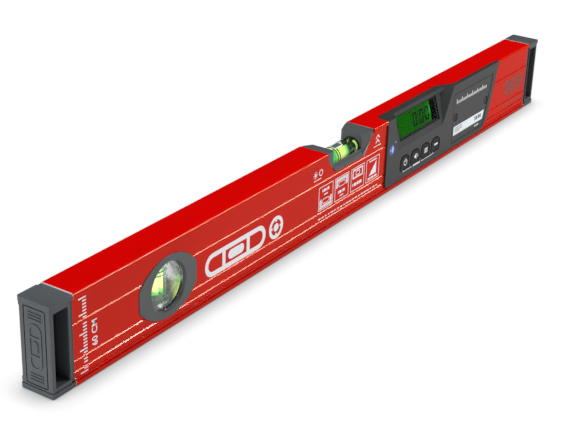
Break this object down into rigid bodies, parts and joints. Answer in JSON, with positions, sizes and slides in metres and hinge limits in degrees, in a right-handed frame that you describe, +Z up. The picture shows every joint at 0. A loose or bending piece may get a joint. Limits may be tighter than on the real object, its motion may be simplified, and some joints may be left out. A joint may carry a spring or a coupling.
{
  "type": "digital spirit level",
  "caption": "Red box-section aluminium spirit level with plumb vial, top-edge level vial, display module with keys and battery cover, and dark pull-off end caps.",
  "frame": {"origin": "centre of the bottom measuring face", "axes": "+X along the profile, from the plumb vial's end to the display's end; -Y the front face with the display; +Z up"},
  "size_m": [0.638, 0.0259, 0.06],
  "materials": {
    "red_aluminium": "satin powder coat",
    "cap_plastic": "fine grained",
    "stopper_rubber": "matte",
    "holder_plastic": "satin",
    "reflector_plastic": "silvery",
    "clear_lens": "clear polycarbonate",
    "vial_acrylic": "clear acrylic",
    "ring_black": "printed ring",
    "plug_plastic": "moulded",
    "vial_fluid": "luminous green spirit",
    "bubble_air": "air bubble",
    "module_plastic": "fine spark-eroded grain",
    "screw_steel": "zinc plated",
    "dark_screw_steel": "blackened",
    "smoked_window": "smoked clear plastic",
    "lcd_glass": "green backlit",
    "backlight_diffuser": "lit",
    "inner_plastic": "moulded",
    "board_laminate": "solder resist",
    "chip_resin": "moulded resin",
    "shield_tin": "tinned",
    "cell_jacket": "shrink film",
    "contact_steel": "nickel plated",
    "label_foil": "matt film",
    "gasket_rubber": "foam",
    "button_plastic": "soft touch"
  },
  "bodies": {
    "level": {"profile": "red_aluminium", "plumb_front_plate": "holder_plastic", "plumb_back_plate": "holder_plastic", "plumb_front_lens": "clear_lens", "plumb_back_lens": "clear_lens", "plumb_vial_body": "reflector_plastic", "plumb_vial_tube": "vial_acrylic", "plumb_vial_rings": "ring_black", "plumb_vial_plugs": "plug_plastic", "plumb_vial_fluid": "vial_fluid", "top_vial_saddle": "holder_plastic", "top_vial_tube": "vial_acrylic", "top_vial_rings": "ring_black", "top_vial_plugs": "plug_plastic", "top_vial_fluid": "vial_fluid", "module_housing": "module_plastic", "module_rear_cover": "module_plastic", "rear_cover_screws": "screw_steel", "display_window": "smoked_window", "lcd_panel": "lcd_glass", "lcd_backlight": "backlight_diffuser", "display_frame": "inner_plastic", "circuit_board": "board_laminate", "board_screws": "screw_steel", "key_board": "board_laminate", "board_header": "inner_plastic", "tact_switches": "inner_plastic", "processor": "chip_resin", "tilt_sensor": "chip_resin", "radio_module": "shield_tin", "buzzer": "chip_resin", "battery_cells": "cell_jacket", "battery_plates": "contact_steel", "battery_springs": "contact_steel"},
    "left_cap": {"left_end_cap": "cap_plastic", "left_cap_stoppers": "stopper_rubber"},
    "right_cap": {"right_end_cap": "cap_plastic", "right_cap_stoppers": "stopper_rubber"},
    "battery_door": {"battery_cover": "module_plastic", "rating_label": "label_foil", "cover_gasket": "gasket_rubber", "cover_screws": "dark_screw_steel"},
    "plumb_bubble": {"plumb_vial_bubble": "bubble_air"},
    "level_bubble": {"top_vial_bubble": "bubble_air"},
    "power_key": {"power_button": "button_plastic", "power_switch_plunger": "plug_plastic"},
    "sound_key": {"sound_button": "button_plastic", "sound_switch_plunger": "plug_plastic"},
    "unit_key": {"unit_button": "button_plastic", "unit_switch_plunger": "plug_plastic"},
    "hold_key": {"hold_button": "button_plastic", "hold_switch_plunger": "plug_plastic"}
  },
  "joints": [
    {"name": "left_cap_pull", "type": "slide", "parent": "level", "child": "left_cap", "axis": [-1, 0, 0], "range_m": [0, 0.03]},
    {"name": "right_cap_pull", "type": "slide", "parent": "level", "child": "right_cap", "axis": [1, 0, 0], "range_m": [0, 0.03]},
    {"name": "battery_door_lift", "type": "slide", "parent": "level", "child": "battery_door", "axis": [0, -1, 0], "range_m": [0, 0.02]},
    {"name": "level_bubble_run", "type": "slide", "parent": "level", "child": "level_bubble", "axis": [1, 0, 0], "range_m": [-0.0138, 0.0138], "stiffness_N_per_m": 2},
    {"name": "plumb_bubble_run", "type": "slide", "parent": "level", "child": "plumb_bubble", "axis": [0, 0, -1], "range_m": [0, 0.017], "stiffness_N_per_m": 30},
    {"name": "power_key_press", "type": "slide", "parent": "level", "child": "power_key", "axis": [0, 1, 0], "range_m": [0, 0.0008], "stiffness_N_per_m": 700},
    {"name": "sound_key_press", "type": "slide", "parent": "level", "child": "sound_key", "axis": [0, 1, 0], "range_m": [0, 0.0008], "stiffness_N_per_m": 700},
    {"name": "unit_key_press", "type": "slide", "parent": "level", "child": "unit_key", "axis": [0, 1, 0], "range_m": [0, 0.0008], "stiffness_N_per_m": 700},
    {"name": "hold_key_press", "type": "slide", "parent": "level", "child": "hold_key", "axis": [0, 1, 0], "range_m": [0, 0.0008], "stiffness_N_per_m": 700}
  ]
}
